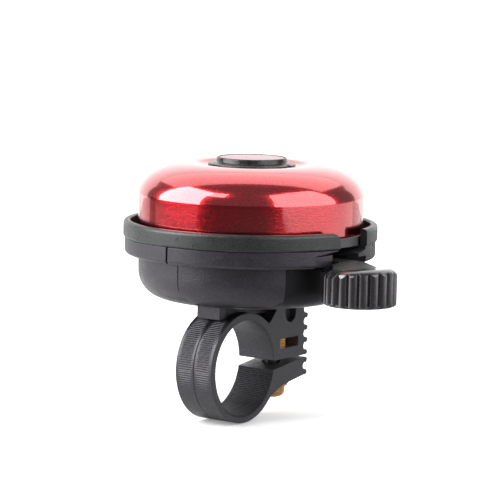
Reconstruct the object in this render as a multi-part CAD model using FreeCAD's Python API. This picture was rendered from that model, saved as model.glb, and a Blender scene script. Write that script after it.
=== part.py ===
import FreeCAD, Part
import math
import os

# Bicycle bell with a thumb lever, gear-driven striker rotor and a handlebar clamp.
# Millimetres. Origin at the centre of the clamp's bore, +X along the handlebar,
# +Y toward the clamp's ears, +Z up along the bell's own axis.

V = FreeCAD.Vector

# ---- handlebar clamp
CLAMP_BORE_R = 11.5
CLAMP_RING_R = 13.2
CLAMP_HALF_WIDTH = 5.3
EAR_FACE_Y = 23.9
TOOTH_CREST_Y = 25.2
TOOTH_R = 0.65
TOOTH_PITCH = 3.05
TOOTH_TOP_Z = 10.15
TOOTH_COUNT = 4
UPPER_EAR_Z = 0.37
BRACKET_TOP_Z = 15.85
SCREW_Y = 17.66
SCREW_R = 1.95
SCREW_SEAT_Z = -6.3
SCREW_TIP_Z = 8.3
WASHER_T = 0.6
NUT_FLATS = 7.0
NUT_Z = 3.07
NUT_T = 2.2

# ---- bell, heights counted from the lower edge of the band around the cup
BELL_Y = 8.0
BAND_Z = 26.35
FLOOR_B = -10.5
FLOOR_T = 1.8
CUP_R = 26.8
CUP_CORNER_R = 6.5
CUP_WALL = 2.0
RECESS_R = 24.5
RECESS_WALL = 1.9
BAND_R = 30.1
BAND_H = 4.03
STEP_R = 28.4
RECESS_END = 35.0
COVER_START = -91.6
COVER_END = -34.9
COVER_BAND_START = -93.3
COVER_BAND_END = -22.7
COVER_TAIL_END = -10.2
WINDOW_END = 4.5
SLOT_START = -10.6
SLOT_END = 12.0
RING_R = 30.5
RING_INNER_R = 28.8
RING_TOP_B = 8.0
RING_GAP_START = -9.8
RING_GAP_END = 10.9
DOME_R = 27.0
DOME_T = 1.2
DOME_EDGE_B = 5.7
DOME_SHOULDER_B = 14.0
DOME_SHOULDER_W = 12.5
DOME_SHOULDER_H = 7.9
DOME_DISH_R = 11.0
CAP_R = 10.5
CAP_SEAT_B = 21.05
CAP_EDGE_T = 0.75
CAP_NECK_B = 22.15
CAP_TOP_R = 8.45
CAP_TOP_B = 23.3
CAP_NOTCH_DEG = 6.0
BADGE_R = 7.9
BADGE_T = 0.65
PLATE_R = 28.2
PLATE_STEP_R = 25.4
PLATE_STEP_B = 4.7
PLATE_TOP_B = 5.3
PLATE_RIM_INNER_R = 27.35
PLATE_RIM_TOP_B = 6.2
PLATE_RIM_END = 15.5

# ---- gear train: lever sector, idler pinion and wheel, rotor pinion
MODULE = 0.8
PRESSURE_DEG = 28.0
ADDENDUM = 0.8
DEDENDUM = 1.05
TOOTH_THINNING = 0.1
SECTOR_TEETH = 28
IDLER_PINION_TEETH = 8
IDLER_WHEEL_TEETH = 20
ROTOR_TEETH = 10
LEVER_TRAVEL_DEG = 28.0
PIVOT_X = 18.6
PIVOT_Y = -1.3
PIVOT_PIN_R = 1.5
IDLER_PIN_R = 1.0
POST_R = 1.75
POST_THREAD_R = 1.25
RUN = 0.05
LEVER_LOW_B = -1.4
LEVER_HIGH_B = 1.35
LEVER_ROOT_R = 5.5
GEAR_SPLIT_B = -2.8
PAD_R = 8.6
PAD_X = 36.0
PAD_Y = -5.5
PAD_LOW_B = -8.1
PAD_RIBS = 20
PAD_TILT_DEG = 5.6
ROTOR_ARM_B = 7.2
ROTOR_ARM_T = 1.6
ROTOR_REST_DEG = 35.0
STRIKER_AT_R = 16.0
STRIKER_PIN_R = 1.3
STRIKER_R = 4.2
STRIKER_HOLE_R = 2.5
LUG_R = 21.1
POST_SHOULDER_B = 13.0
WASHER_T = 0.5
WASHER_B = CAP_SEAT_B - DOME_T - WASHER_T
COVER_PEG_DEGS = (-80.0, -48.0)
RING_PEG_DEGS = (25.0, 85.0, 145.0, 205.0, 255.0, 302.0)
RING_PEG_AT_R = 29.3
RING_PEG_R = 0.4
PLATE_SCREW_DEGS = (60.0, 140.0, 220.0)
PLATE_SCREW_AT_R = 20.3
SPRING_COIL_R = 3.2
SPRING_WIRE_R = 0.3
SPRING_LOW_B = -7.4
SPRING_PITCH = 1.05
SPRING_COILS = 3
SPRING_FOOT_DEG = 100.0
SPRING_PEG_DEG = 230.0
SPRING_PEG_AT_R = 4.6


def polar(radius, degrees):
    return (radius * math.cos(math.radians(degrees)), radius * math.sin(math.radians(degrees)))


def rounded_face(points):
    """Closed polygon in the XY plane; a third number on a point is its corner radius."""
    count = len(points)
    corners = []
    for i in range(count):
        here = V(points[i][0], points[i][1], 0)
        before = V(points[i - 1][0], points[i - 1][1], 0) - here
        after = V(points[(i + 1) % count][0], points[(i + 1) % count][1], 0) - here
        radius = points[i][2] if len(points[i]) > 2 else 0
        if radius == 0:
            corners.append((here, here, here))
            continue
        before.normalize()
        after.normalize()
        half = before.getAngle(after) / 2
        back = radius / math.tan(half)
        middle = before + after
        middle.normalize()
        centre = here + middle * (radius / math.sin(half))
        corners.append((here + before * back, centre - middle * radius, here + after * back))
    edges = []
    for i in range(count):
        start, middle, end = corners[i]
        if (end - start).Length > 1e-6:
            edges.append(Part.Arc(start, middle, end).toShape())
        following = corners[(i + 1) % count][0]
        if (following - end).Length > 1e-6:
            edges.append(Part.makeLine(end, following))
    return Part.Face(Part.Wire(edges))


def spin_face(face):
    upright = face.copy()
    upright.rotate(V(0, 0, 0), V(1, 0, 0), 90)
    return upright.revolve(V(0, 0, 0), V(0, 0, 1), 360)


def spin(points):
    return spin_face(rounded_face(points))


def plate(points, low, high):
    face = rounded_face(points)
    face.translate(V(0, 0, low))
    return face.extrude(V(0, 0, high - low))


def disc(radius, low, high, x=0.0, y=0.0):
    return Part.makeCylinder(radius, high - low, V(x, y, low))


def tube(outer, inner, low, high, x=0.0, y=0.0):
    return disc(outer, low, high, x, y).cut(disc(inner, low - 1, high + 1, x, y))


def wedge(start_deg, end_deg, low, high, radius=50.0):
    piece = Part.makeCylinder(radius, high - low, V(0, 0, low), V(0, 0, 1), end_deg - start_deg)
    piece.rotate(V(0, 0, 0), V(0, 0, 1), start_deg)
    return piece


def turned(shape, degrees, x=0.0, y=0.0):
    copy = shape.copy()
    copy.rotate(V(x, y, 0), V(0, 0, 1), degrees)
    return copy


def radial_rod(radius, inner, outer, degrees, height):
    rod = Part.makeCylinder(radius, outer - inner, V(inner, 0, height), V(1, 0, 0))
    return turned(rod, degrees)


def corner_cutter(at_deg, side, low, radius, reach=35.0):
    """What lies outside a rounded lower corner, looking along the radius at at_deg."""
    square = Part.makeBox(reach, radius + 2, radius + 2, V(5, -radius, low - 2))
    round_part = Part.makeCylinder(radius, reach + 10, V(0, -radius, low + radius), V(1, 0, 0))
    left_over = square.cut(round_part)
    if side < 0:
        left_over = left_over.mirror(V(0, 0, 0), V(0, 1, 0))
    return turned(left_over, at_deg)


def under_slope(at_deg, height, slope_deg):
    """What lies below a plane that climbs by slope_deg going round the bell, at this height above at_deg."""
    block = Part.makeBox(20, 40, 12, V(20, -20, height - 12))
    block.rotate(V(0, 0, height), V(1, 0, 0), slope_deg)
    return turned(block, at_deg)


def gear(teeth, low, high, x, y, tooth_at_deg):
    """Spur gear with involute flanks, one tooth centred on tooth_at_deg."""
    pitch_r = MODULE * teeth / 2
    base_r = pitch_r * math.cos(math.radians(PRESSURE_DEG))
    tip_r = pitch_r + ADDENDUM * MODULE
    root_r = pitch_r - DEDENDUM * MODULE
    start_r = max(base_r, root_r)
    roll_at_pitch = math.tan(math.radians(PRESSURE_DEG)) - math.radians(PRESSURE_DEG)
    half_tooth = (math.pi * MODULE / 2 - TOOTH_THINNING) / (2 * pitch_r)

    def half_angle(radius):
        pressure = math.acos(min(1.0, base_r / radius))
        return half_tooth + roll_at_pitch - (math.tan(pressure) - pressure)

    radii = [start_r + (tip_r - start_r) * step / 5 for step in range(6)]
    edges = []
    turn = 2 * math.pi / teeth
    for i in range(teeth):
        centre = i * turn
        right = [V(r * math.cos(centre - half_angle(r)), r * math.sin(centre - half_angle(r)), 0) for r in radii]
        left = [V(r * math.cos(centre + half_angle(r)), r * math.sin(centre + half_angle(r)), 0) for r in radii]
        foot_angle = half_angle(start_r)
        right_foot = V(root_r * math.cos(centre - foot_angle), root_r * math.sin(centre - foot_angle), 0)
        left_foot = V(root_r * math.cos(centre + foot_angle), root_r * math.sin(centre + foot_angle), 0)
        gap_angle = centre + turn / 2
        gap_point = V(root_r * math.cos(gap_angle), root_r * math.sin(gap_angle), 0)
        next_angle = centre + turn - foot_angle
        next_foot = V(root_r * math.cos(next_angle), root_r * math.sin(next_angle), 0)
        tip_point = V(tip_r * math.cos(centre), tip_r * math.sin(centre), 0)
        if (right[0] - right_foot).Length > 1e-5:
            edges.append(Part.makeLine(right_foot, right[0]))
        flank = Part.BSplineCurve()
        flank.interpolate(right)
        edges.append(flank.toShape())
        edges.append(Part.Arc(right[-1], tip_point, left[-1]).toShape())
        flank = Part.BSplineCurve()
        flank.interpolate(left[::-1])
        edges.append(flank.toShape())
        if (left[0] - left_foot).Length > 1e-5:
            edges.append(Part.makeLine(left[0], left_foot))
        edges.append(Part.Arc(left_foot, gap_point, next_foot).toShape())
    face = Part.Face(Part.Wire(edges))
    face.rotate(V(0, 0, 0), V(0, 0, 1), tooth_at_deg)
    face.translate(V(x, y, low))
    return face.extrude(V(0, 0, high - low))


def along_bar(points, low, high):
    """Outline in the plane across the handlebar, pulled out along it."""
    face = rounded_face(points)
    face.rotate(V(0, 0, 0), V(1, 1, 1), 120)
    face.translate(V(low, 0, 0))
    return face.extrude(V(high - low, 0, 0))


def bar_disc(radius, low, high, y=0.0, z=0.0):
    return Part.makeCylinder(radius, high - low, V(low, y, z), V(1, 0, 0))


def save(name, shape, on_bell=False):
    if on_bell:
        shape = shape.copy()
        shape.translate(V(0, BELL_Y, BAND_Z))
    if len(shape.Solids) == 1:
        shape = shape.Solids[0]
    shape.exportStep("parts/" + name + ".step")


os.makedirs("parts", exist_ok=True)

# Gear centres about the bell's axis. The idler sits where both meshes close.
lever_distance = MODULE * (SECTOR_TEETH + IDLER_PINION_TEETH) / 2
rotor_distance = MODULE * (IDLER_WHEEL_TEETH + ROTOR_TEETH) / 2
pivot_distance = math.hypot(PIVOT_X, PIVOT_Y)
pivot_deg = math.degrees(math.atan2(PIVOT_Y, PIVOT_X))
law = (rotor_distance ** 2 + pivot_distance ** 2 - lever_distance ** 2) / (2 * rotor_distance * pivot_distance)
idler_deg = pivot_deg - math.degrees(math.acos(law))
IDLER_X, IDLER_Y = polar(rotor_distance, idler_deg)
pivot_to_idler_deg = math.degrees(math.atan2(IDLER_Y - PIVOT_Y, IDLER_X - PIVOT_X))
idler_to_post_deg = math.degrees(math.atan2(-IDLER_Y, -IDLER_X))

# ---- cup with the lower band, its gear bosses and the lug beside the clamp ring
cup_outline = [
    (0, FLOOR_B),
    (CUP_R, FLOOR_B, CUP_CORNER_R),
    (CUP_R, 0, 0.3),
    (BAND_R, 0, 0.8),
    (BAND_R, BAND_H, 0.2),
    (0, BAND_H),
]
full_cup = spin(cup_outline)
recessed_core = spin([(0, FLOOR_B), (RECESS_R, FLOOR_B, 4.5), (RECESS_R, BAND_H + 1), (0, BAND_H + 1)])
outer_shell = full_cup.cut(recessed_core)

cover_space = outer_shell.common(wedge(COVER_START, COVER_END, -9.7, BAND_H + 1))
cover_space = cover_space.cut(corner_cutter(COVER_END, 1, -9.7, 3.6))
cover_space = cover_space.cut(corner_cutter(COVER_START, -1, -9.7, 3.6))
band_layer = full_cup.cut(disc(STEP_R, -1, BAND_H + 1))
cover_band = band_layer.common(wedge(COVER_END, COVER_BAND_END, 0, BAND_H + 1))
cover_band = cover_band.fuse(band_layer.common(wedge(COVER_BAND_START, COVER_START, 0, BAND_H + 1)))
cover_tail = band_layer.common(wedge(COVER_BAND_END, COVER_TAIL_END, 2, BAND_H + 1))
cover_tail = cover_tail.cut(under_slope(-16.4, 3.28, 8.1))
open_recess = outer_shell.common(wedge(COVER_END, RECESS_END, FLOOR_B, 0))
around_window = full_cup.cut(disc(RECESS_R - 3, -3, BAND_H + 1))
lever_window = around_window.common(wedge(COVER_BAND_END, WINDOW_END, LEVER_LOW_B - 0.4, BAND_H + 1))
step_strip = disc(STEP_R, FLOOR_B, BAND_H).common(wedge(COVER_BAND_END, SLOT_START, FLOOR_B, BAND_H))
lever_window = lever_window.cut(step_strip.common(under_slope(-16.6, 2.6, 2.7)))
lever_slot = around_window.common(wedge(SLOT_START, SLOT_END, LEVER_LOW_B - 0.4, LEVER_HIGH_B + 0.4))
window_sill = around_window.common(wedge(WINDOW_END, RING_GAP_END + 0.3, 2, BAND_H + 1))
window_sill = window_sill.cut(under_slope(7.8, 2.95, 11.2))
root_space = disc(LEVER_ROOT_R + 0.35, LEVER_LOW_B - 0.4, LEVER_HIGH_B + 0.4, PIVOT_X, PIVOT_Y)

wide_cavity = spin([
    (0, FLOOR_B + FLOOR_T),
    (CUP_R - CUP_WALL, FLOOR_B + FLOOR_T, CUP_CORNER_R - CUP_WALL),
    (CUP_R - CUP_WALL, BAND_H + 1),
    (0, BAND_H + 1),
])
narrow_r = RECESS_R - RECESS_WALL
narrow_cavity = spin([
    (0, FLOOR_B + FLOOR_T),
    (narrow_r, FLOOR_B + FLOOR_T, 3.0),
    (narrow_r, BAND_H + 1),
    (0, BAND_H + 1),
])
cavity = wide_cavity.common(wedge(RECESS_END + 4, 360 + COVER_START - 4, FLOOR_B, BAND_H + 1)).fuse(narrow_cavity)

cup = full_cup
for space in (cover_space, cover_band, open_recess, lever_window, lever_slot, window_sill, root_space, cavity):
    cup = cup.cut(space)
boss_low = FLOOR_B + FLOOR_T - 0.4
bosses = [
    disc(4.4, boss_low, -6.2),
    disc(2.6, boss_low, -2.0, PIVOT_X, PIVOT_Y),
    disc(2.1, boss_low, -6.5, IDLER_X, IDLER_Y),
]
spring_stop_x, spring_stop_y = polar(5.2, SPRING_FOOT_DEG + 10)
bosses.append(disc(0.6, boss_low, -6.2, PIVOT_X + spring_stop_x, PIVOT_Y + spring_stop_y))
for degrees in PLATE_SCREW_DEGS:
    x, y = polar(PLATE_SCREW_AT_R, degrees)
    bosses.append(disc(2.4, boss_low, BAND_H, x, y))
for boss in bosses:
    cup = cup.fuse(boss)
lug = Part.makeBox(6.7, 2.4, 4.1, V(-3.35, -7.8 - BELL_Y, 12.15 - BAND_Z))
cup = cup.fuse(lug)
holes = [
    disc(POST_R, FLOOR_B + 0.5, 0),
    disc(PIVOT_PIN_R, FLOOR_B + 0.5, 0, PIVOT_X, PIVOT_Y),
    disc(IDLER_PIN_R, FLOOR_B + 0.5, 0, IDLER_X, IDLER_Y),
]
BRACKET_SCREW_YS = (15.2 - BELL_Y, 21.4 - BELL_Y)
for y in BRACKET_SCREW_YS:
    holes.append(disc(1.4, FLOOR_B - 1, FLOOR_B + FLOOR_T + 0.5, 0, y))
for degrees in PLATE_SCREW_DEGS:
    x, y = polar(PLATE_SCREW_AT_R, degrees)
    holes.append(disc(1.1, -3.5, BAND_H + 1, x, y))
for degrees in COVER_PEG_DEGS:
    holes.append(radial_rod(1.0, narrow_r - 1, RECESS_R + 1, degrees, -2.0))
for degrees in RING_PEG_DEGS[:-1]:
    x, y = polar(RING_PEG_AT_R, degrees)
    holes.append(disc(RING_PEG_R, BAND_H - 2.3, BAND_H + 1, x, y))
snap_mark = wedge(21.4, 22.6, BAND_H - 0.7, BAND_H + 1).cut(disc(BAND_R - 0.6, BAND_H - 1, BAND_H + 2))
holes.append(snap_mark)
for hole in holes:
    cup = cup.cut(hole)
save("base_cup", cup.removeSplitter(), True)

# ---- side cover: closes the cup's flank and carries its own length of band
cover = cover_space.fuse(cover_band).fuse(cover_tail)
cover = cover.cut(wedge(COVER_START - 0.1, COVER_START + 0.35, -12, 0))
cover = cover.cut(wedge(COVER_BAND_START - 0.1, COVER_BAND_START + 0.9, -1, BAND_H + 1))
cover = cover.cut(disc(40, -12, -9.6))
for degrees in COVER_PEG_DEGS:
    cover = cover.fuse(radial_rod(1.0, narrow_r + 0.1, RECESS_R + 0.3, degrees, -2.0))
x, y = polar(RING_PEG_AT_R, RING_PEG_DEGS[-1])
cover = cover.cut(disc(RING_PEG_R, BAND_H - 2.3, BAND_H + 1, x, y))
save("side_cover", cover.removeSplitter(), True)

# ---- guard ring: open band around the dome's lower edge
guard = spin([
    (RING_INNER_R, BAND_H),
    (RING_R, BAND_H, 0.4),
    (RING_R, RING_TOP_B, 0.85),
    (RING_INNER_R, RING_TOP_B, 0.35),
])
gap = wedge(RING_GAP_START, RING_GAP_END, BAND_H - 1, RING_TOP_B + 1)
guard = guard.cut(gap)
end_round = corner_cutter(0, 1, 0, 2.2).mirror(V(0, 0, 0), V(0, 0, 1))
end_round.translate(V(0, 0, RING_TOP_B))
guard = guard.cut(turned(end_round, RING_GAP_START))
for degrees in RING_PEG_DEGS:
    x, y = polar(RING_PEG_AT_R, degrees)
    guard = guard.fuse(disc(RING_PEG_R, BAND_H - 2.0, BAND_H + 0.5, x, y))
save("guard_ring", guard.removeSplitter(), True)

# ---- bearing plate: lid of the cup, holds the upper ends of both gear pins
lid = disc(PLATE_R, BAND_H, PLATE_STEP_B).fuse(disc(PLATE_STEP_R, PLATE_STEP_B, PLATE_TOP_B))
rim = tube(PLATE_R, PLATE_RIM_INNER_R, BAND_H, PLATE_RIM_TOP_B)
rim = rim.common(wedge(RING_GAP_START - 3, PLATE_RIM_END, BAND_H - 1, PLATE_RIM_TOP_B + 1))
lid = lid.fuse(rim)
lid = lid.cut(disc(3.25, 0, 10))
lid = lid.cut(disc(PIVOT_PIN_R, 0, 10, PIVOT_X, PIVOT_Y))
lid = lid.cut(disc(IDLER_PIN_R, 0, 10, IDLER_X, IDLER_Y))
for degrees in PLATE_SCREW_DEGS:
    x, y = polar(PLATE_SCREW_AT_R, degrees)
    lid = lid.cut(disc(1.25, 0, 10, x, y))
save("bearing_plate", lid.removeSplitter(), True)


def pan_screw(head_r, head_h, shank_r, length, slot_w):
    """Pan-head screw, head up, underside of the head at height 0."""
    screw = spin([
        (0, -length),
        (shank_r, -length, 0.25),
        (shank_r, 0),
        (head_r, 0),
        (head_r, head_h, head_h * 0.55),
        (0, head_h),
    ])
    for across in (0, 90):
        slot = Part.makeBox(head_r * 1.1, slot_w, head_h * 0.6, V(-head_r * 0.55, -slot_w / 2, head_h * 0.45))
        screw = screw.cut(turned(slot, across))
    return screw


plate_screws = []
for degrees in PLATE_SCREW_DEGS:
    x, y = polar(PLATE_SCREW_AT_R, degrees)
    screw = pan_screw(1.9, 1.1, 1.1, 7.0, 0.5)
    screw.translate(V(x, y, PLATE_TOP_B))
    plate_screws.append(screw)
save("plate_screws", Part.makeCompound(plate_screws), True)

bracket_screws = []
for y in BRACKET_SCREW_YS:
    screw = pan_screw(2.3, 1.5, 1.2, 8.2, 0.6)
    screw.translate(V(0, y, FLOOR_B + FLOOR_T))
    bracket_screws.append(screw)
save("bracket_screws", Part.makeCompound(bracket_screws), True)

# ---- centre post, spacer, washer: carry the dome above the rotor
post = disc(POST_R, FLOOR_B + 0.5, POST_SHOULDER_B).fuse(disc(POST_THREAD_R, POST_SHOULDER_B, CAP_TOP_B - 1.0))
save("centre_post", post.removeSplitter(), True)
save("dome_spacer", tube(3.6, POST_THREAD_R + RUN, POST_SHOULDER_B, WASHER_B), True)
save("dome_washer", tube(5.0, POST_THREAD_R + RUN, WASHER_B, WASHER_B + WASHER_T), True)
save("lever_pin", disc(PIVOT_PIN_R, FLOOR_B + 0.5, PLATE_TOP_B - 0.2, PIVOT_X, PIVOT_Y), True)
save("idler_pin", disc(IDLER_PIN_R, FLOOR_B + 0.5, PLATE_TOP_B - 0.2, IDLER_X, IDLER_Y), True)


# ---- dome: straight wall, elliptical shoulder, and a crown dished around the cap
def dome_solid(inset, low):
    crest_r = DOME_R - DOME_SHOULDER_W
    crest_b = DOME_SHOULDER_B + DOME_SHOULDER_H - inset
    dish_b = CAP_SEAT_B - inset
    ellipse = Part.Ellipse(V(crest_r, DOME_SHOULDER_B, 0), DOME_SHOULDER_W - inset, DOME_SHOULDER_H - inset)
    dish = Part.BezierCurve()
    dish.setPoles([
        V(crest_r, crest_b, 0),
        V(crest_r - 1.6, crest_b, 0),
        V(DOME_DISH_R + 1.6, dish_b, 0),
        V(DOME_DISH_R, dish_b, 0),
    ])
    edges = [
        Part.makeLine(V(0, low, 0), V(DOME_R - inset, low, 0)),
        Part.makeLine(V(DOME_R - inset, low, 0), V(DOME_R - inset, DOME_SHOULDER_B, 0)),
        Part.ArcOfEllipse(ellipse, 0, math.pi / 2).toShape(),
        dish.toShape(),
        Part.makeLine(V(DOME_DISH_R, dish_b, 0), V(0, dish_b, 0)),
        Part.makeLine(V(0, dish_b, 0), V(0, low, 0)),
    ]
    return spin_face(Part.Face(Part.Wire(edges)))


dome = dome_solid(0, DOME_EDGE_B).cut(dome_solid(DOME_T, DOME_EDGE_B - 1))
dome = dome.cut(disc(POST_THREAD_R + RUN, 0, 30))
for degrees in (90, 270):
    lug = Part.makeBox(DOME_R - DOME_T - LUG_R + 0.5, 5.0, 3.6, V(LUG_R, -2.5, 8.3))
    lug = lug.cut(disc(LUG_R, 0, 30))
    dome = dome.fuse(turned(lug, degrees))
save("bell_dome", dome.removeSplitter(), True)

# ---- cap nut: thin-edged conical flange with two spanner notches, disc with a badge recess
cap = spin([
    (0, CAP_SEAT_B),
    (CAP_R, CAP_SEAT_B),
    (CAP_R, CAP_SEAT_B + CAP_EDGE_T, 0.25),
    (CAP_TOP_R, CAP_NECK_B, 0.15),
    (CAP_TOP_R, CAP_TOP_B, 0.35),
    (BADGE_R, CAP_TOP_B, 0.1),
    (BADGE_R, CAP_TOP_B - BADGE_T),
    (0, CAP_TOP_B - BADGE_T),
])
cap = cap.cut(disc(POST_THREAD_R + RUN, CAP_SEAT_B - 1, CAP_TOP_B - 0.9))
for degrees in (CAP_NOTCH_DEG, CAP_NOTCH_DEG + 180):
    notch = Part.makeBox(3, 0.8, 4, V(CAP_R - 0.9, -0.4, CAP_SEAT_B - 1))
    cap = cap.cut(turned(notch, degrees))
save("dome_cap", cap, True)
badge = spin([
    (0, CAP_TOP_B - BADGE_T),
    (BADGE_R - 0.08, CAP_TOP_B - BADGE_T),
    (BADGE_R - 0.08, CAP_TOP_B - 0.1, 0.3),
    (0, CAP_TOP_B - 0.1),
])
save("cap_badge", badge, True)

# ---- striker rotor: pinion and sleeve on the post, arm above the plate
rotor = gear(ROTOR_TEETH, -5.6, GEAR_SPLIT_B + 0.4, 0, 0, idler_to_post_deg + 180 + 180 / ROTOR_TEETH)
rotor = rotor.fuse(disc(2.9, -6.1, ROTOR_ARM_B + 1)).fuse(disc(3.4, ROTOR_ARM_B, 12.7))
arm_end = STRIKER_AT_R + 3.0
arm_points = [(-arm_end, 3.0, 2.9), (-arm_end, -3.0, 2.9), (arm_end, -3.0, 2.9), (arm_end, 3.0, 2.9)]
arm = plate(arm_points, ROTOR_ARM_B, ROTOR_ARM_B + ROTOR_ARM_T)
arm = arm.fuse(disc(5.2, ROTOR_ARM_B, ROTOR_ARM_B + ROTOR_ARM_T))
for x in (-STRIKER_AT_R, STRIKER_AT_R):
    arm = arm.cut(disc(STRIKER_PIN_R, ROTOR_ARM_B - 1, ROTOR_ARM_B + 3, x, 0))
rotor = rotor.fuse(turned(arm, ROTOR_REST_DEG))
rotor = rotor.cut(disc(POST_R + RUN, -8, 14))
save("striker_rotor", rotor.removeSplitter(), True)

ring_low = ROTOR_ARM_B + ROTOR_ARM_T + 0.2
striker_pin = disc(STRIKER_PIN_R, ROTOR_ARM_B, ring_low + 2.5).fuse(disc(3.1, ring_low + 2.5, ring_low + 3.2))
striker_pins = []
for k in (0, 1):
    x, y = polar(STRIKER_AT_R, ROTOR_REST_DEG + 180 * k)
    pin = striker_pin.copy()
    pin.translate(V(x, y, 0))
    striker_pins.append(pin)
    striker = spin([
        (STRIKER_HOLE_R, ring_low, 0.3),
        (STRIKER_R, ring_low, 0.5),
        (STRIKER_R, ring_low + 2.2, 0.5),
        (STRIKER_HOLE_R, ring_low + 2.2, 0.3),
    ])
    striker.translate(V(x, y, 0))
    save("striker_ring_" + "ab"[k], striker, True)
save("striker_pins", Part.makeCompound(striker_pins), True)

# ---- idler: small pinion driven by the lever, large wheel driving the rotor
idler = gear(IDLER_PINION_TEETH, GEAR_SPLIT_B, 1.7, IDLER_X, IDLER_Y,
             pivot_to_idler_deg + 180 + 180 / IDLER_PINION_TEETH)
idler = idler.fuse(gear(IDLER_WHEEL_TEETH, -5.2, GEAR_SPLIT_B, IDLER_X, IDLER_Y, idler_to_post_deg))
idler = idler.fuse(disc(2.1, -6.4, -5.2, IDLER_X, IDLER_Y)).fuse(disc(2.1, 1.7, 3.7, IDLER_X, IDLER_Y))
idler = idler.cut(disc(IDLER_PIN_R + RUN, -8, 8, IDLER_X, IDLER_Y))
save("idler_gear", idler.removeSplitter(), True)

# ---- thumb lever: toothed sector, hub, and the arm that leaves through the window
arm_deg = math.degrees(math.atan2(PAD_Y - PIVOT_Y, PAD_X - PIVOT_X))
arm_length = math.hypot(PAD_X - PIVOT_X, PAD_Y - PIVOT_Y)
sector = gear(SECTOR_TEETH, LEVER_LOW_B, LEVER_HIGH_B, PIVOT_X, PIVOT_Y, pivot_to_idler_deg)
keep = wedge(pivot_to_idler_deg - LEVER_TRAVEL_DEG - 19, pivot_to_idler_deg + 21, -2, 2)
keep.translate(V(PIVOT_X, PIVOT_Y, 0))
lever = sector.common(keep).fuse(disc(3.2, -1.9, 3.7, PIVOT_X, PIVOT_Y))
lever = lever.fuse(disc(LEVER_ROOT_R, LEVER_LOW_B, LEVER_HIGH_B, PIVOT_X, PIVOT_Y))
arm_points = [
    (0, 2.6),
    (0, -1.3),
    (arm_length - 5.6, -1.3, 1.5),
    (arm_length - 4.4, -5.2, 1.5),
    (arm_length + 3.6, -5.2, 4.0),
    (arm_length + 3.6, 5.2, 4.0),
    (arm_length - 4.4, 5.2, 2.0),
    (arm_length - 7.6, 2.6, 3.0),
]
arm = plate(arm_points, LEVER_LOW_B, LEVER_HIGH_B)
ramp = Part.makeBox(20, 20, 4, V(0, -10, 0))
ramp.rotate(V(0, 0, 0), V(0, 1, 0), 9)
ramp.translate(V(arm_length - 6.4, 0, LEVER_HIGH_B))
arm = arm.cut(ramp)
arm.rotate(V(0, 0, 0), V(0, 0, 1), arm_deg)
arm.translate(V(PIVOT_X, PIVOT_Y, 0))
peg_x, peg_y = polar(SPRING_PEG_AT_R, SPRING_PEG_DEG)
lever = lever.fuse(arm).fuse(disc(0.5, -4.3, LEVER_LOW_B + 0.5, PIVOT_X + peg_x, PIVOT_Y + peg_y))
lever = lever.cut(disc(PIVOT_PIN_R + RUN, -8, 8, PIVOT_X, PIVOT_Y))
save("thumb_lever", lever.removeSplitter(), True)

# ---- thumb pad: ribbed button with a sloping, softly crowned top, pocketed for the arm
rib_r = 1.28
rib_at = PAD_R - rib_r
half_rib = math.pi / PAD_RIBS
valley_r = rib_at * math.cos(half_rib) + math.sqrt(rib_r ** 2 - (rib_at * math.sin(half_rib)) ** 2)
rib_edges = []
for i in range(PAD_RIBS):
    a = 2 * math.pi * i / PAD_RIBS
    low_point = V(valley_r * math.cos(a - half_rib), valley_r * math.sin(a - half_rib), 0)
    crest = V(PAD_R * math.cos(a), PAD_R * math.sin(a), 0)
    high_point = V(valley_r * math.cos(a + half_rib), valley_r * math.sin(a + half_rib), 0)
    rib_edges.append(Part.Arc(low_point, crest, high_point).toShape())
pad = Part.Face(Part.Wire(rib_edges))
pad.translate(V(0, 0, PAD_LOW_B))
pad = pad.extrude(V(0, 0, 12))
barrel = spin([(0, PAD_LOW_B), (PAD_R + 0.1, PAD_LOW_B, 0.9), (PAD_R + 0.1, 1.25, 1.3), (0, 1.25)])
pad = pad.common(barrel).fuse(spin([(0, PAD_LOW_B), (8.25, PAD_LOW_B, 0.3), (8.25, PAD_LOW_B + 0.7), (0, PAD_LOW_B + 0.7)]))
crown = spin([
    (0, PAD_LOW_B - 4),
    (PAD_R + 3, PAD_LOW_B - 4),
    (PAD_R + 3, -3.9),
    (PAD_R + 0.05, -2.7),
    (PAD_R + 0.05, 0.1, 2.2),
    (5.2, 0.3, 30.0),
    (0, 0.45),
])
crown.rotate(V(0, 0, 0), V(0, 1, 0), -PAD_TILT_DEG)
pad = pad.common(crown)
pad.rotate(V(0, 0, 0), V(0, 0, 1), arm_deg)
pad.translate(V(PAD_X, PAD_Y, 0))
pad = pad.cut(arm)
save("thumb_pad", pad.removeSplitter(), True)

# ---- return spring around the lever's boss, one leg on the lever's peg, one on the cup's stop
hook_deg = SPRING_PEG_DEG + 10.5
turns = SPRING_COILS + (hook_deg - SPRING_FOOT_DEG) / 360
rise = SPRING_PITCH * turns
helix = Part.makeHelix(SPRING_PITCH, rise, SPRING_COIL_R)
section = Part.Wire([Part.makeCircle(SPRING_WIRE_R, V(SPRING_COIL_R, 0, 0), V(0, 1, 0))])
spring = Part.Wire(helix.Edges).makePipeShell([section], True, True)
spring.rotate(V(0, 0, 0), V(0, 0, 1), SPRING_FOOT_DEG)
for end_deg, end_z in ((SPRING_FOOT_DEG, 0), (hook_deg, rise)):
    leg = Part.makeCylinder(SPRING_WIRE_R, 2.9, V(SPRING_COIL_R, 0, end_z), V(1, 0, 0))
    elbow = Part.makeSphere(SPRING_WIRE_R, V(SPRING_COIL_R, 0, end_z))
    spring = spring.fuse(turned(leg, end_deg)).fuse(turned(elbow, end_deg))
spring.translate(V(PIVOT_X, PIVOT_Y, SPRING_LOW_B))
save("return_spring", spring, True)

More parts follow.
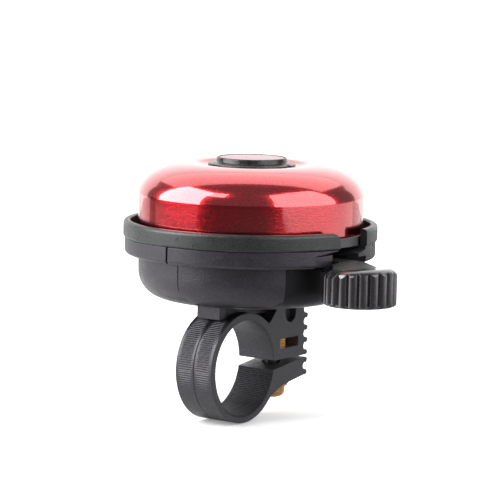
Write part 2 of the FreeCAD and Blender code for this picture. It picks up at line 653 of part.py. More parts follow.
# ---- clamp bracket: neck, toothed ears and bar ring in one moulding
half = CLAMP_HALF_WIDTH
bracket = bar_disc(CLAMP_RING_R, -half, half)
neck = along_bar([
    (12.8, BRACKET_TOP_Z),
    (12.3, 12.9, 0.8),
    (10.0, 10.2, 1.2),
    (7.0, 9.2),
    (7.0, UPPER_EAR_Z),
    (EAR_FACE_Y, UPPER_EAR_Z, 0.3),
    (EAR_FACE_Y, BRACKET_TOP_Z, 0.3),
], -half, half)
lower_ear = along_bar([
    (6.0, -2.7),
    (11.6, -1.9),
    (24.3, -0.15, 0.3),
    (24.3, -4.55, 0.4),
    (15.7, -5.95, 1.0),
    (10.8, -8.0, 1.5),
    (8.2, -10.34),
    (6.0, -10.0),
], -half, half)
saddle = Part.makeBox(5.0, 18.2, 4.0, V(-2.5, -4.8, BRACKET_TOP_Z - 4.0))
bracket = bracket.fuse(neck).fuse(lower_ear).fuse(saddle)
crest_y = TOOTH_CREST_Y - TOOTH_R
tooth_zs = [TOOTH_TOP_Z - i * TOOTH_PITCH for i in range(TOOTH_COUNT)] + [-0.9, -3.95]
for z in tooth_zs:
    bracket = bracket.fuse(bar_disc(TOOTH_R, -half, half, crest_y, z))
    bracket = bracket.fuse(Part.makeBox(2 * half, 1.6, 2 * TOOTH_R, V(-half, crest_y - 1.6, z - TOOTH_R)))
valley_zs = [z + TOOTH_PITCH / 2 for z in tooth_zs[:TOOTH_COUNT]] + [-2.42]
for z in valley_zs:
    bracket = bracket.cut(bar_disc(0.87, -half - 1, half + 1, crest_y - 0.13, z))
bracket = bracket.fuse(disc(4.3, SCREW_SEAT_Z, -4.6, 0, SCREW_Y))
split = along_bar([
    (8.0, UPPER_EAR_Z),
    (27.0, UPPER_EAR_Z),
    (27.0, 0.22),
    (24.3, -0.15),
    (11.6, -1.9),
    (8.0, -2.4),
], -half - 1, half + 1)
bracket = bracket.cut(split)
bracket = bracket.cut(bar_disc(CLAMP_BORE_R, -half - 1, half + 1))
bracket = bracket.cut(disc(4.35, -14, SCREW_SEAT_Z, 0, SCREW_Y))
bracket = bracket.cut(disc(SCREW_R + 0.35, -14, SCREW_TIP_Z + 0.4, 0, SCREW_Y))
nut_slot = Part.makeBox(half + 5.5, NUT_FLATS + 0.4, NUT_T + 0.22, V(-4.5, SCREW_Y - NUT_FLATS / 2 - 0.2, NUT_Z - 0.11))
bracket = bracket.cut(nut_slot)
recess = Part.makeBox(3, 4.3, 10, V(half - 1.8, SCREW_Y + 0.3 - 2.15, 11.25))
recess = recess.fuse(bar_disc(2.15, half - 1.8, half + 1.2, SCREW_Y + 0.3, 11.25))
bracket = bracket.cut(recess)
for y in BRACKET_SCREW_YS:
    bracket = bracket.cut(disc(1.2, 9.4, 17, 0, BELL_Y + y))
seam = bar_disc(CLAMP_RING_R + 0.2, -0.1, 0.1).cut(bar_disc(CLAMP_RING_R - 0.15, -1, 1))
seam = seam.common(Part.makeBox(4, 21, 40, V(-2, -14, -20)))
bracket = bracket.cut(seam)
save("clamp_bracket", bracket.removeSplitter())

# ---- clamp screw, washer and nut, threads drawn as plain cylinders
clamp_screw = pan_screw(3.4, 2.9, SCREW_R, SCREW_TIP_Z - SCREW_SEAT_Z + WASHER_T, 0.9)
clamp_screw.rotate(V(0, 0, 0), V(1, 0, 0), 180)
clamp_screw.translate(V(0, SCREW_Y, SCREW_SEAT_Z - WASHER_T))
save("clamp_screw", clamp_screw)
save("screw_washer", tube(4.0, SCREW_R + 0.1, SCREW_SEAT_Z - WASHER_T, SCREW_SEAT_Z, 0, SCREW_Y))
corner_r = NUT_FLATS / 2 / math.cos(math.radians(30))
hexagon = [polar(corner_r, 60 * i) for i in range(6)]
nut = plate(hexagon, NUT_Z - 0.11, NUT_Z - 0.11 + NUT_T)
nut = nut.cut(disc(SCREW_R + RUN, -1, 20))
nut.translate(V(0, SCREW_Y, 0))
save("clamp_nut", nut)
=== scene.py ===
import math

import bmesh
import bpy
from mathutils import Matrix, Vector


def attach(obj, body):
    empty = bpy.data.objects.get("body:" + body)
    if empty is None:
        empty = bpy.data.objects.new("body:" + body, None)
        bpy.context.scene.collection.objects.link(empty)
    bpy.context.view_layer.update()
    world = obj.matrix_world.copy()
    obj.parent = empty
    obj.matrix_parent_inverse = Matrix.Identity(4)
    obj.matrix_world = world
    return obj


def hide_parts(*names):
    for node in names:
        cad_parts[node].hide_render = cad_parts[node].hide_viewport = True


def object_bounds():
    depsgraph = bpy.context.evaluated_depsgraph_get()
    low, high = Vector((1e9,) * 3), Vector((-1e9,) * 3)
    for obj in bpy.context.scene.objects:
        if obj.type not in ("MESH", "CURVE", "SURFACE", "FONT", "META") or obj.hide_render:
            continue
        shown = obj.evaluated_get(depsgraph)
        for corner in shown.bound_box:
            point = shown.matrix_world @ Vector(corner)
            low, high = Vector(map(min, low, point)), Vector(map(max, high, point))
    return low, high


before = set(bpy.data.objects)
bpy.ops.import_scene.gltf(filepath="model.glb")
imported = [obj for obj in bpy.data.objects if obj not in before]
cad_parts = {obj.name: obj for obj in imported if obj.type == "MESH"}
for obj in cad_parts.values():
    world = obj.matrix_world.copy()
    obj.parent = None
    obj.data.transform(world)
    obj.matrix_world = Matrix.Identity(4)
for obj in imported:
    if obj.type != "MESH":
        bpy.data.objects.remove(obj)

cad_low, cad_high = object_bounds()

# ---------------------------------------------------------------- sizes
MM = 0.001
BELL_Y = 8.0 * MM
BAND_Z = 26.35 * MM
# The rest are in mm. Heights are from the lower band's bottom edge, at BAND_Z.
DOME_R = 27.0
DOME_T = 1.2
DOME_EDGE = 5.7
SHOULDER_B = 14.0
SHOULDER_W = 12.5
SHOULDER_H = 7.9
DISH_R = 11.0
CAP_SEAT = 21.05
CAP_EDGE_T = 0.75
CAP_NECK = 22.15
CAP_TOP = 23.3
CAP_R = 10.5
CAP_TOP_R = 8.45
CAP_NOTCH_DEG = 6.0
BADGE_R = 7.9
POST_HOLE_R = 1.3
LUG_R = 21.1
LUG_WIDTH = 5.0
LUG_HEIGHT = 3.6
LUG_MIDDLE = 10.1
RIM_ROUND = 0.3
CLAMP_OUTER_R = 13.2
MOULD_RIB_PITCH = 0.55
TRACK_MIDDLE = 2.6 * MM

# ---------------------------------------------------------------- camera
# It stands where the round outlines of the real bell put it, 0.6 m away and 7 degrees up.
CAMERA_AT = Vector((0.3602, -0.4719, 0.1038))
VIEW_DIR = Vector((-0.5955, 0.7934, -0.1267)).normalized()
CAMERA_ROLL_DEG = 1.2
CAMERA_LENS = 181.2


def make_camera():
    data = bpy.data.cameras.new("camera")
    data.lens = CAMERA_LENS
    data.sensor_width = 36.0
    data.clip_start = 0.01
    data.clip_end = 50.0
    cam = bpy.data.objects.new("camera", data)
    bpy.context.scene.collection.objects.link(cam)
    right = VIEW_DIR.cross(Vector((0, 0, 1))).normalized()
    up = right.cross(VIEW_DIR)
    roll = math.radians(CAMERA_ROLL_DEG)
    side = right * math.cos(roll) + up * math.sin(roll)
    top = up * math.cos(roll) - right * math.sin(roll)
    turn = Matrix((side, top, -VIEW_DIR)).transposed()
    cam.matrix_world = Matrix.Translation(CAMERA_AT) @ turn.to_4x4()
    bpy.context.scene.camera = cam


make_camera()

# ---------------------------------------------------------------- studio
TOWARD_CAMERA = Vector((-VIEW_DIR.x, -VIEW_DIR.y, 0)).normalized()
CAMERA_RIGHT = VIEW_DIR.cross(Vector((0, 0, 1))).normalized()


def studio_point(right, toward, height):
    """A place given from the bell's axis: camera's right, toward the camera, up."""
    level = CAMERA_RIGHT * right + TOWARD_CAMERA * toward
    return Vector((level.x, BELL_Y + level.y, height))


def panel(name, centre, aim, width, height, radiance):
    """Soft rectangular light of an even radiance, facing the aim point."""
    data = bpy.data.lights.new(name, "AREA")
    data.shape = "RECTANGLE"
    data.size = width
    data.size_y = height
    data.energy = radiance * math.pi * width * height
    light = bpy.data.objects.new(name, data)
    light.location = studio_point(*centre)
    light.rotation_mode = "QUATERNION"
    facing = studio_point(*aim) - light.location
    light.rotation_quaternion = facing.to_track_quat("-Z", "Y")
    light.visible_camera = False
    bpy.context.scene.collection.objects.link(light)


# Name, centre, aim point, width, height and radiance. Left and right are the camera's, and back is
# behind the bell. The high panels are softboxes, and the low ones light the dome's wall and the cup.
panel("left_high", (-0.292, 0.067, 0.250), (0.0, 0.0, 0.250), 0.300, 0.440, 7.0)
panel("left_tail", (-0.26, 0.30, 0.470), (0.0, 0.0, 0.470), 0.15, 0.24, 4.0)
panel("left_low", (-0.25, 0.050, 0.000), (0.0, 0.050, 0.000), 0.270, 0.026, 0.25)
panel("left_back", (-0.22, -0.21, 0.008), (0.0, 0.0, 0.008), 0.14, 0.040, 0.56)
panel("right_high", (0.339, 0.212, 0.350), (0.0, 0.0, 0.350), 0.560, 0.640, 2.7)
panel("right_low", (0.25, 0.131, 0.010), (0.0, 0.131, 0.010), 0.566, 0.05, 1.08)
panel("right_back", (0.22, -0.21, 0.008), (0.0, 0.0, 0.008), 0.14, 0.040, 0.58)
panel("back_sky", (0.0, -0.45, 0.64), (0.0, -0.44, 0.0), 1.30, 0.70, 1.36)
panel("back_wall", (0.0, -0.36, 0.150), (0.0, 0.0, 0.150), 0.90, 0.32, 1.12)

WHITE_SEEN = 1.05
ROOM_LIGHT = 0.23


def make_room():
    """White behind the bell for the camera, and an even dim room for every other ray."""
    world = bpy.data.worlds.new("studio")
    bpy.context.scene.world = world
    world.use_nodes = True
    tree = world.node_tree
    tree.nodes.clear()
    path = tree.nodes.new("ShaderNodeLightPath")
    mix = tree.nodes.new("ShaderNodeMixShader")
    tree.links.new(path.outputs["Is Camera Ray"], mix.inputs["Fac"])
    for place, strength in ((1, ROOM_LIGHT), (2, WHITE_SEEN)):
        white = tree.nodes.new("ShaderNodeBackground")
        white.inputs["Color"].default_value = (1, 1, 1, 1)
        white.inputs["Strength"].default_value = strength
        tree.links.new(white.outputs[0], mix.inputs[place])
    out = tree.nodes.new("ShaderNodeOutputWorld")
    tree.links.new(mix.outputs[0], out.inputs["Surface"])


make_room()

bpy.context.scene.view_settings.view_transform = "Standard"
bpy.context.scene.view_settings.look = "None"


# ---------------------------------------------------------------- node helpers
class Shader:
    """One node material with the few building blocks that the finishes share."""

    def __init__(self, name):
        self.mat = bpy.data.materials.new(name)
        self.mat.use_nodes = True
        self.tree = self.mat.node_tree
        self.tree.nodes.clear()
        self.out = self.tree.nodes.new("ShaderNodeOutputMaterial")
        self.bsdf = self.tree.nodes.new("ShaderNodeBsdfPrincipled")
        self.link(self.bsdf.outputs[0], self.out.inputs["Surface"])
        self.place = self.tree.nodes.new("ShaderNodeTexCoord")
        self.normal = None

    def link(self, a, b):
        self.tree.links.new(a, b)

    def put(self, socket, value):
        self.bsdf.inputs[socket].default_value = value

    def math(self, operation, a, b=None):
        node = self.tree.nodes.new("ShaderNodeMath")
        node.operation = operation
        for socket, value in zip(node.inputs, (a, b)):
            if value is None:
                continue
            if isinstance(value, (int, float)):
                socket.default_value = value
            else:
                self.link(value, socket)
        return node.outputs[0]

    def scaled(self, factors, source=None):
        node = self.tree.nodes.new("ShaderNodeMapping")
        node.inputs["Scale"].default_value = factors
        self.link(source or self.place.outputs["Object"], node.inputs["Vector"])
        return node.outputs[0]

    def noise(self, scale, detail=3.0, rough=0.55, source=None):
        node = self.tree.nodes.new("ShaderNodeTexNoise")
        node.inputs["Scale"].default_value = scale
        node.inputs["Detail"].default_value = detail
        node.inputs["Roughness"].default_value = rough
        self.link(source or self.place.outputs["Object"], node.inputs["Vector"])
        return node.outputs["Fac"]

    def coordinates(self):
        """The three coordinates of the part's frame, in metres."""
        split = self.tree.nodes.new("ShaderNodeSeparateXYZ")
        self.link(self.place.outputs["Object"], split.inputs[0])
        return split.outputs[:]

    def between(self, low, high, low_blend=0.0010, high_blend=0.0040):
        """One between two heights in metres, falling to nought over the blends outside them."""
        z = self.coordinates()[2]
        above = self.spread(z, 0.0, 1.0, low, low + low_blend)
        below = self.spread(z, 1.0, 0.0, high, high + high_blend)
        return self.math("MULTIPLY", above, below)

    def from_axis(self, direction, centre):
        """Distance from a straight line along a unit direction through a point, in metres."""
        offset = self.vector("SUBTRACT", self.place.outputs["Object"], centre)
        across = self.vector("CROSS_PRODUCT", offset.outputs[0], direction)
        return self.vector("LENGTH", across.outputs[0]).outputs["Value"]

    def vector(self, operation, source, constant=None):
        node = self.tree.nodes.new("ShaderNodeVectorMath")
        node.operation = operation
        self.link(source, node.inputs[0])
        if constant is not None:
            node.inputs[1].default_value = constant
        return node

    def ramp(self, source, low, high, from_value=0.35, to_value=0.65):
        node = self.tree.nodes.new("ShaderNodeValToRGB")
        node.color_ramp.elements[0].position = from_value
        node.color_ramp.elements[1].position = to_value
        node.color_ramp.elements[0].color = low
        node.color_ramp.elements[1].color = high
        self.link(source, node.inputs["Fac"])
        return node.outputs["Color"]

    def spread(self, source, low, high, from_value=0.3, to_value=0.7):
        node = self.tree.nodes.new("ShaderNodeMapRange")
        node.inputs["From Min"].default_value = from_value
        node.inputs["From Max"].default_value = to_value
        node.inputs["To Min"].default_value = low
        node.inputs["To Max"].default_value = high
        self.link(source, node.inputs["Value"])
        return node.outputs["Result"]

    def blend_colour(self, factor, a, b):
        node = self.tree.nodes.new("ShaderNodeMix")
        node.data_type = "RGBA"
        self.link(factor, node.inputs["Factor"])
        for socket, value in ((node.inputs["A"], a), (node.inputs["B"], b)):
            if isinstance(value, tuple):
                socket.default_value = value
            else:
                self.link(value, socket)
        return node.outputs["Result"]

    def rounded_edges(self, radius):
        node = self.tree.nodes.new("ShaderNodeBevel")
        node.samples = 6
        node.inputs["Radius"].default_value = radius
        self.normal = node.outputs[0]
        self.link(self.normal, self.bsdf.inputs["Normal"])

    def bump(self, height, depth, strength=1.0):
        node = self.tree.nodes.new("ShaderNodeBump")
        node.inputs["Strength"].default_value = strength
        node.inputs["Distance"].default_value = depth
        self.link(height, node.inputs["Height"])
        if self.normal is not None:
            self.link(self.normal, node.inputs["Normal"])
        self.normal = node.outputs[0]
        self.link(self.normal, self.bsdf.inputs["Normal"])


def grey(value, tint=(1.0, 1.0, 1.0)):
    return (value * tint[0], value * tint[1], value * tint[2], 1.0)


PLASTIC_SHINE = 0.54
PAINTED_SHADE_EDGE = 0.0006


def moulded_plastic(name, value, tint, roughness, glint_specks=0.5, coat=0.0, painted_shade=None):
    """Dark injection moulding: spark-eroded grain, slow colour drift, fine scuffs, and light specks
    painted in as glints.

    The last argument paints shade: inside the region it gives, the colour is darker and the shine lower.
    It holds an axis, a point on it, a radius, a shine and two heights.
    """
    s = Shader(name)
    base = s.ramp(s.noise(90.0, 2.0), grey(value * 0.88, tint), grey(value * 1.12, tint))
    # Painted glints: light specks are mixed into the base colour as small highlights.
    painted_glints = s.spread(s.noise(3400.0, 2.0, 0.5), 0.0, glint_specks, 0.48, 0.70)
    colour = s.blend_colour(painted_glints, base, grey(value * 4.0, tint))
    wear = s.spread(s.noise(420.0, 5.0, 0.65), roughness - 0.07, roughness + 0.09)
    s.put("Specular IOR Level", PLASTIC_SHINE)
    if painted_shade is not None:
        # Painted shade: the colour is darkened and the shine lowered inside the given region.
        direction, centre, radius, shine, heights = painted_shade
        mask = s.spread(s.from_axis(direction, centre), 1.0, 0.0, radius, radius + PAINTED_SHADE_EDGE)
        mask = s.math("MULTIPLY", mask, s.between(*heights))
        colour = s.blend_colour(mask, colour, grey(value * 0.65, tint))
        s.link(s.spread(mask, PLASTIC_SHINE, shine, 0.0, 1.0), s.bsdf.inputs["Specular IOR Level"])
    s.link(colour, s.bsdf.inputs["Base Color"])
    s.link(wear, s.bsdf.inputs["Roughness"])
    s.put("IOR", 1.5)
    s.put("Specular Tint", (*(part / max(tint) for part in tint), 1.0))
    if coat > 0:
        s.put("Coat Weight", coat)
        s.put("Coat Roughness", 0.06)
        s.put("Coat IOR", 1.6)
    s.rounded_edges(0.00030)
    s.bump(s.noise(2600.0, 3.0, 0.6), 0.00010, 0.7)
    s.bump(s.noise(160.0, 2.0), 0.00010, 0.18)
    return s


def ground_metal(name, colour, roughness, stretch=(1.0, 1.0, 14.0), edge=0.00015):
    """Turned or drawn metal: fine lines, slight tarnish."""
    s = Shader(name)
    s.put("Metallic", 1.0)
    tarnish = s.noise(240.0, 4.0, 0.6)
    dark = tuple(c * 0.62 for c in colour) + (1.0,)
    s.link(s.ramp(tarnish, dark, tuple(colour) + (1.0,), 0.30, 0.62), s.bsdf.inputs["Base Color"])
    lines = s.noise(700.0, 3.0, 0.6, s.scaled(stretch))
    s.link(s.spread(lines, roughness - 0.06, roughness + 0.12), s.bsdf.inputs["Roughness"])
    s.rounded_edges(edge)
    s.bump(lines, 0.00002, 0.5)
    return s


# ---------------------------------------------------------------- finishes
def red_anodised():
    """Polished then dyed aluminium under a clear oxide skin, with circumferential turning lines."""
    s = Shader("red_anodised")
    s.put("Metallic", 1.0)
    uv = s.place.outputs["UV"]
    slow = s.noise(55.0, 2.0, 0.5)
    dye = s.ramp(slow, (0.60, 0.012, 0.022, 1), (0.72, 0.022, 0.035, 1))
    fine = s.noise(1.0, 3.0, 0.6, s.scaled((230.0, 3000.0, 1.0), uv))
    pits = s.spread(fine, 0.0, 0.85, 0.46, 0.66)
    s.link(s.blend_colour(pits, dye, (0.34, 0.004, 0.008, 1.0)), s.bsdf.inputs["Base Color"])
    lines = s.noise(1.0, 4.0, 0.62, s.scaled((26.0, 5200.0, 1.0), uv))
    speck = s.noise(2400.0, 2.0, 0.5)
    rough = s.math("ADD", s.spread(lines, 0.13, 0.24), s.spread(speck, -0.01, 0.03))
    s.link(rough, s.bsdf.inputs["Roughness"])
    s.put("Coat Weight", 0.95)
    s.put("Coat Roughness", 0.06)
    s.put("Coat IOR", 1.9)
    streaks = s.noise(1.0, 3.0, 0.6, s.scaled((150.0, 2600.0, 1.0), uv))
    s.bump(lines, 0.000014, 0.6)
    s.bump(streaks, 0.000034, 0.6)
    s.bump(s.noise(1600.0, 3.0, 0.6), 0.000030, 0.5)
    return s.mat


def gloss_black():
    """Polished black moulding with a faint green cast and a fine orange-peel surface."""
    s = Shader("cap_gloss_black")
    mist = s.noise(500.0, 4.0, 0.6)
    colour = s.ramp(mist, grey(0.010, (0.9, 1.06, 1.0)), grey(0.030, (0.94, 1.04, 1.0)))
    s.link(colour, s.bsdf.inputs["Base Color"])
    s.link(s.spread(mist, 0.17, 0.30), s.bsdf.inputs["Roughness"])
    s.bump(s.noise(1500.0, 2.0), 0.00008, 0.8)
    return s.mat


def badge_gloss():
    """Blank disc under a clear domed skin."""
    s = Shader("badge_gloss")
    mist = s.noise(120.0, 3.0, 0.5)
    s.link(s.ramp(mist, (0.26, 0.07, 0.11, 1), (0.34, 0.11, 0.16, 1)), s.bsdf.inputs["Base Color"])
    s.link(s.spread(mist, 0.16, 0.24), s.bsdf.inputs["Roughness"])
    s.bump(s.noise(260.0, 2.0), 0.00003, 0.25)
    return s.mat


# Painted shade as moulded_plastic takes it: darker colour and less shine in the open space beside the
# side cover, and in the bore's lower half.
RECESS_SHADE = ((0, 0, 1), (0, BELL_Y, 0), 0.0249, 0.25, (0.0164, 0.1))
LOWER_BORE_SHADE = ((1, 0, 0), (0, 0, 0), 0.0116, 0.20, (-0.03, -0.010))
SHELL_TINT = (1.02, 0.96, 1.08)


def clamp_moulding():
    """Bracket plastic with close ribs left by the mould around the bar ring."""
    # The bore's lower half is painted darker and duller as shade.
    s = moulded_plastic("bracket_plastic", 0.018, (1.0, 0.97, 1.07), 0.36, painted_shade=LOWER_BORE_SHADE)
    x, y, z = s.coordinates()
    angle = s.math("ARCTAN2", z, y)
    radius = s.math("SQRT", s.math("ADD", s.math("MULTIPLY", y, y), s.math("MULTIPLY", z, z)))
    wobble = s.math("MULTIPLY", s.noise(260.0, 2.0), 0.9)
    ribs_a_radian = CLAMP_OUTER_R / MOULD_RIB_PITCH
    phase = s.math("ADD", s.math("MULTIPLY", angle, 2 * math.pi * ribs_a_radian), wobble)
    ridge = s.math("SINE", phase)
    # Ribs fade out toward the ears and the ring's foot, and leave the edges of both tracks plain.
    outside = s.spread(radius, 0.0, 1.0, 0.01300, 0.01312)
    left = s.spread(y, 1.0, 0.0, 0.001, 0.009)
    upper = s.spread(z, 0.0, 1.0, -0.007, 0.001)
    from_track = s.math("ABSOLUTE", s.math("SUBTRACT", s.math("ABSOLUTE", x), TRACK_MIDDLE))
    band = s.spread(from_track, 1.0, 0.0, 0.0014, 0.0022)
    inside = s.spread(radius, 1.0, 0.0, 0.01152, 0.01160)
    lower = s.spread(z, 1.0, 0.0, -0.001, 0.000)
    outer = s.math("MULTIPLY", s.math("MULTIPLY", outside, upper), s.math("MULTIPLY", left, band))
    inner = s.math("MULTIPLY", inside, lower)
    mask = s.math("MAXIMUM", s.math("MULTIPLY", outer, 0.5), inner)
    s.bump(s.math("MULTIPLY", ridge, mask), 0.00018, 0.9)
    return s.mat


def clamp_brass():
    """Yellow fastener metal, painted near-black as shade where it crosses between the ears."""
    s = ground_metal("clamp_brass", (0.60, 0.31, 0.11), 0.20, (1.0, 1.0, 4.0))
    # Painted shade: the part between the ears is coloured near-black.
    painted_shade_band = s.between(-4.5 * MM, 2.0 * MM, 0.7 * MM, 0.7 * MM)
    colour = s.bsdf.inputs["Base Color"].links[0].from_socket
    shaded_colour = s.blend_colour(painted_shade_band, colour, (0.035, 0.03, 0.026, 1.0))
    s.link(shaded_colour, s.bsdf.inputs["Base Color"])
    return s.mat


RING = moulded_plastic("ring_plastic", 0.014, (0.97, 1.03, 1.02), 0.31).mat
# The cup's recess beside the side cover is painted darker and duller as shade.
SHELL = moulded_plastic("shell_plastic", 0.0120, SHELL_TINT, 0.37, painted_shade=RECESS_SHADE).mat
COVER = moulded_plastic("cover_plastic", 0.0120, SHELL_TINT, 0.37).mat
PLATE = moulded_plastic("plate_plastic", 0.045, (1.0, 1.0, 1.05), 0.42).mat
LEVER = moulded_plastic("lever_plastic", 0.022, (1.0, 1.03, 1.02), 0.32).mat
PAD = moulded_plastic("pad_plastic", 0.010, (1.03, 0.96, 1.05), 0.16, 0.15, 1.0).mat
GEAR = moulded_plastic("gear_plastic", 0.20, (1.0, 0.98, 0.92), 0.40, 0.1).mat
FIBRE = moulded_plastic("washer_fibre", 0.02, (1, 1, 1), 0.75).mat
BRACKET = clamp_moulding()
STEEL = ground_metal("pin_steel", (0.62, 0.62, 0.64), 0.28).mat
ZINC = ground_metal("screw_zinc", (0.66, 0.66, 0.68), 0.34, (1.0, 1.0, 3.0)).mat
SPRING = ground_metal("spring_wire", (0.52, 0.51, 0.50), 0.32, (2.0, 2.0, 2.0)).mat
BRASS = clamp_brass()
RED = red_anodised()
CAP = gloss_black()
BADGE = badge_gloss()

FINISH_OF = {
    "base_cup": SHELL,
    "side_cover": COVER,
    "guard_ring": RING,
    "bearing_plate": PLATE,
    "plate_screws": ZINC,
    "bracket_screws": ZINC,
    "centre_post": STEEL,
    "dome_spacer": STEEL,
    "dome_washer": FIBRE,
    "bell_dome": RED,
    "dome_cap": CAP,
    "cap_badge": BADGE,
    "lever_pin": STEEL,
    "idler_pin": STEEL,
    "return_spring": SPRING,
    "idler_gear": GEAR,
    "striker_rotor": GEAR,
    "striker_pins": STEEL,
    "striker_ring_a": STEEL,
    "striker_ring_b": STEEL,
    "thumb_lever": LEVER,
    "thumb_pad": PAD,
    "clamp_bracket": BRACKET,
    "clamp_screw": BRASS,
    "screw_washer": BRASS,
    "clamp_nut": BRASS,
}

for node_name, finish in FINISH_OF.items():
    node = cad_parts[node_name]
    for slot in node.material_slots:
        slot.link = "OBJECT"
        slot.material = finish


# ---------------------------------------------------------------- turned pieces
def lathe(name, profile, segments=288):
    """Turns (radius, height) points in mm about the bell's axis.

    The UV map holds the turn and the length along the profile.
    """
    mesh = bpy.data.meshes.new(name)
    bm = bmesh.new()
    uv = bm.loops.layers.uv.new("UVMap")
    length = [0.0]
    for (r0, z0), (r1, z1) in zip(profile, profile[1:]):
        length.append(length[-1] + math.hypot(r1 - r0, z1 - z0) * MM)
    rings = []
    for r, z in profile:
        if r < 1e-6:
            rings.append([bm.verts.new((0, BELL_Y, BAND_Z + z * MM))])
            continue
        ring = []
        for k in range(segments):
            a = 2 * math.pi * k / segments
            x, y = r * MM * math.cos(a), r * MM * math.sin(a)
            ring.append(bm.verts.new((x, BELL_Y + y, BAND_Z + z * MM)))
        rings.append(ring)
    for i in range(len(rings) - 1):
        low, high = rings[i], rings[i + 1]
        for k in range(segments):
            n = (k + 1) % segments
            if len(low) == 1 and len(high) == 1:
                continue
            if len(low) == 1:
                face = bm.faces.new((low[0], high[n], high[k]))
                marks = ((k + 0.5, i), (k + 1, i + 1), (k, i + 1))
            elif len(high) == 1:
                face = bm.faces.new((low[k], low[n], high[0]))
                marks = ((k, i), (k + 1, i), (k + 0.5, i + 1))
            else:
                face = bm.faces.new((low[k], low[n], high[n], high[k]))
                marks = ((k, i), (k + 1, i), (k + 1, i + 1), (k, i + 1))
            face.smooth = True
            for loop, (turn, step) in zip(face.loops, marks):
                loop[uv].uv = (turn / segments, length[step])
    bmesh.ops.recalc_face_normals(bm, faces=bm.faces)
    bm.to_mesh(mesh)
    bm.free()
    piece = bpy.data.objects.new(name, mesh)
    bpy.context.scene.collection.objects.link(piece)
    return piece


def arc(cx, cz, rx, rz, start, end, steps):
    """Points of an elliptical arc, with its angles in degrees."""
    turns = [math.radians(start + (end - start) * i / steps) for i in range(steps + 1)]
    return [(cx + rx * math.cos(turn), cz + rz * math.sin(turn)) for turn in turns]


def dome_curve(inset, wall_low):
    """Wall, shoulder, and the crown's dish around the cap, from the edge up to the post hole."""
    crest_r = DOME_R - SHOULDER_W
    crest_b = SHOULDER_B + SHOULDER_H - inset
    points = [(DOME_R - inset, wall_low + (SHOULDER_B - wall_low) * i / 12) for i in range(12)]
    points += arc(crest_r, SHOULDER_B, SHOULDER_W - inset, SHOULDER_H - inset, 0, 90, 56)
    poles = (crest_r, crest_r - 1.6, DISH_R + 1.6, DISH_R)
    fall = CAP_SEAT - inset - crest_b
    for i in range(1, 17):
        f = i / 16
        share = (1 - f) ** 3, 3 * f * (1 - f) ** 2, 3 * f * f * (1 - f), f ** 3
        r = sum(w * pole for w, pole in zip(share, poles))
        points.append((r, crest_b + fall * (share[2] + share[3])))
    points.append((POST_HOLE_R, CAP_SEAT - inset))
    return points


def make_dome():
    """The gong as one closed turned shell, with the two lugs that the rings strike."""
    wall_low = DOME_EDGE + RIM_ROUND
    outer = dome_curve(0.0, wall_low)
    inner = dome_curve(DOME_T, wall_low)
    rim = arc(DOME_R - RIM_ROUND, wall_low, RIM_ROUND, RIM_ROUND, -90, 0, 5)[:-1]
    rim_inner = arc(DOME_R - DOME_T + RIM_ROUND, wall_low, RIM_ROUND, RIM_ROUND, 180, 270, 5)
    profile = rim + outer + inner[::-1] + rim_inner + [rim[0]]
    dome = lathe("dome_shell", profile)
    bm = bmesh.new()
    bm.from_mesh(dome.data)
    for side in (1, -1):
        lug = bmesh.ops.create_cube(bm, size=1.0)["verts"]
        depth = DOME_R - 0.6 - LUG_R
        size = Matrix.Diagonal((LUG_WIDTH * MM, depth * MM, LUG_HEIGHT * MM, 1))
        middle = Vector((0, BELL_Y + side * (LUG_R + depth / 2) * MM, BAND_Z + LUG_MIDDLE * MM))
        bmesh.ops.transform(bm, matrix=Matrix.Translation(middle) @ size, verts=lug)
        edges = {e for v in lug for e in v.link_edges}
        bmesh.ops.bevel(
            bm, geom=list(edges), offset=0.4 * MM, segments=3, affect="EDGES", profile=0.5
        )
    bm.to_mesh(dome.data)
    bm.free()
    dome.data.materials.append(RED)
    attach(dome, "base")
    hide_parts("bell_dome")


def cut_slot(piece, middle, size, degrees):
    """Cuts a box out of a turned piece; middle and size in mm, turned about the bell's axis."""
    mesh = bpy.data.meshes.new("slot_cutter")
    bm = bmesh.new()
    bmesh.ops.create_cube(bm, size=1.0)
    on_axis = Matrix.Translation((0, BELL_Y, BAND_Z)) @ Matrix.Rotation(math.radians(degrees), 4, "Z")
    box = Matrix.Translation([v * MM for v in middle]) @ Matrix.Diagonal([v * MM for v in size] + [1])
    bmesh.ops.transform(bm, matrix=on_axis @ box, verts=bm.verts)
    bm.to_mesh(mesh)
    bm.free()
    cutter = bpy.data.objects.new("slot_cutter", mesh)
    bpy.context.scene.collection.objects.link(cutter)
    cut = piece.modifiers.new("slot", "BOOLEAN")
    cut.operation = "DIFFERENCE"
    cut.solver = "EXACT"
    cut.object = cutter
    evaluated = piece.evaluated_get(bpy.context.evaluated_depsgraph_get())
    done = bpy.data.meshes.new_from_object(evaluated)
    piece.modifiers.clear()
    piece.data = done
    bpy.data.objects.remove(cutter)


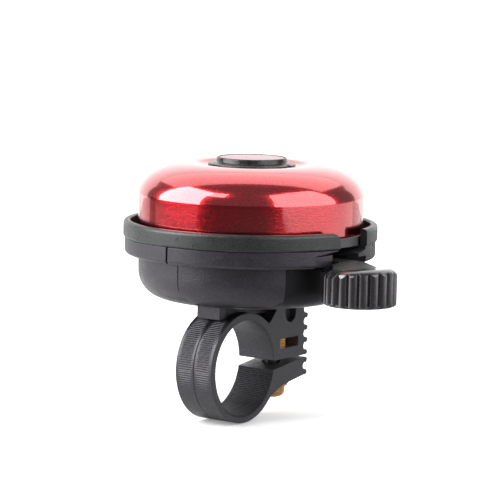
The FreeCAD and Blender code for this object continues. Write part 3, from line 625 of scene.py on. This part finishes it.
def make_cap():
    """Cap nut with its flange and two spanner notches, and the blank disc set in its top."""
    edge_top = CAP_SEAT + CAP_EDGE_T
    profile = [(0, CAP_SEAT + 0.02), (CAP_R - 0.12, CAP_SEAT + 0.02)]
    profile += arc(CAP_R - 0.12, CAP_SEAT + 0.14, 0.12, 0.12, -90, 0, 4)
    profile += arc(CAP_R - 0.14, edge_top - 0.14, 0.14, 0.14, 0, 80, 6)
    profile += arc(CAP_TOP_R + 0.2, CAP_NECK + 0.2, 0.2, 0.2, 260, 180, 6)
    profile += arc(CAP_TOP_R - 0.35, CAP_TOP - 0.35, 0.35, 0.35, 0, 90, 10)
    profile += arc(BADGE_R + 0.12, CAP_TOP - 0.12, 0.12, 0.12, 90, 180, 4)
    profile += [(BADGE_R, CAP_TOP - 0.6), (0, CAP_TOP - 0.6)]
    cap = lathe("cap_turned", profile, 192)
    for degrees in (CAP_NOTCH_DEG, CAP_NOTCH_DEG + 180):
        cut_slot(cap, (CAP_R + 0.6, 0, CAP_SEAT), (3.0, 0.8, 4.0), degrees)
    cap.data.materials.append(CAP)
    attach(cap, "base")
    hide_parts("dome_cap")
    disc = [(0, CAP_TOP - 0.58), (BADGE_R - 0.1, CAP_TOP - 0.58), (BADGE_R - 0.1, CAP_TOP - 0.3)]
    disc += arc(BADGE_R - 0.35, CAP_TOP - 0.3, 0.25, 0.22, 0, 80, 6)
    for i in range(1, 9):
        r = (BADGE_R - 0.35) * (1 - i / 8)
        disc.append((r, CAP_TOP - 0.02 - 0.06 * (r / BADGE_R) ** 2))
    badge = lathe("badge_disc", disc, 192)
    badge.data.materials.append(BADGE)
    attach(badge, "base")
    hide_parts("cap_badge")


make_dome()
make_cap()


# ---------------------------------------------------------------- floor
FLOOR_HALF = 6.0


def make_floor():
    """Pale paper that fades to white for the camera. For every other ray it shows a painted pool of
    light behind and left of the bell, fading to dark grey.
    """
    mesh = bpy.data.meshes.new("floor")
    bm = bmesh.new()
    level = cad_low.z - 0.0002
    corners = ((-1, -1), (1, -1), (1, 1), (-1, 1))
    bm.faces.new([bm.verts.new((x * FLOOR_HALF, y * FLOOR_HALF, level)) for x, y in corners])
    bm.to_mesh(mesh)
    bm.free()
    floor = bpy.data.objects.new("floor", mesh)
    bpy.context.scene.collection.objects.link(floor)
    s = Shader("floor_paper")
    s.link(s.ramp(s.noise(4.0, 2.0), grey(0.86), grey(0.90)), s.bsdf.inputs["Base Color"])
    s.put("Roughness", 0.9)
    s.put("Emission Color", (1, 1, 1, 1))
    here = s.place.outputs["Object"]
    away = s.vector("LENGTH", here).outputs["Value"]
    s.link(s.spread(away, 0.22, 0.95, 0.05, 0.60), s.bsdf.inputs["Emission Strength"])
    dim = s.tree.nodes.new("ShaderNodeBsdfDiffuse")
    # Painted light for every other ray: a bright pool on the floor behind and left of the bell, fading
    # to dark grey away from it.
    beside = s.vector("DISTANCE", here, studio_point(-0.13, -0.08, level)).outputs["Value"]
    s.link(s.ramp(beside, grey(0.80), grey(0.15), 0.12, 0.27), dim.inputs["Color"])
    path = s.tree.nodes.new("ShaderNodeLightPath")
    mix = s.tree.nodes.new("ShaderNodeMixShader")
    s.link(path.outputs["Is Camera Ray"], mix.inputs["Fac"])
    s.link(dim.outputs[0], mix.inputs[1])
    s.link(s.bsdf.outputs[0], mix.inputs[2])
    s.link(mix.outputs[0], s.out.inputs["Surface"])
    mesh.materials.append(s.mat)


make_floor()
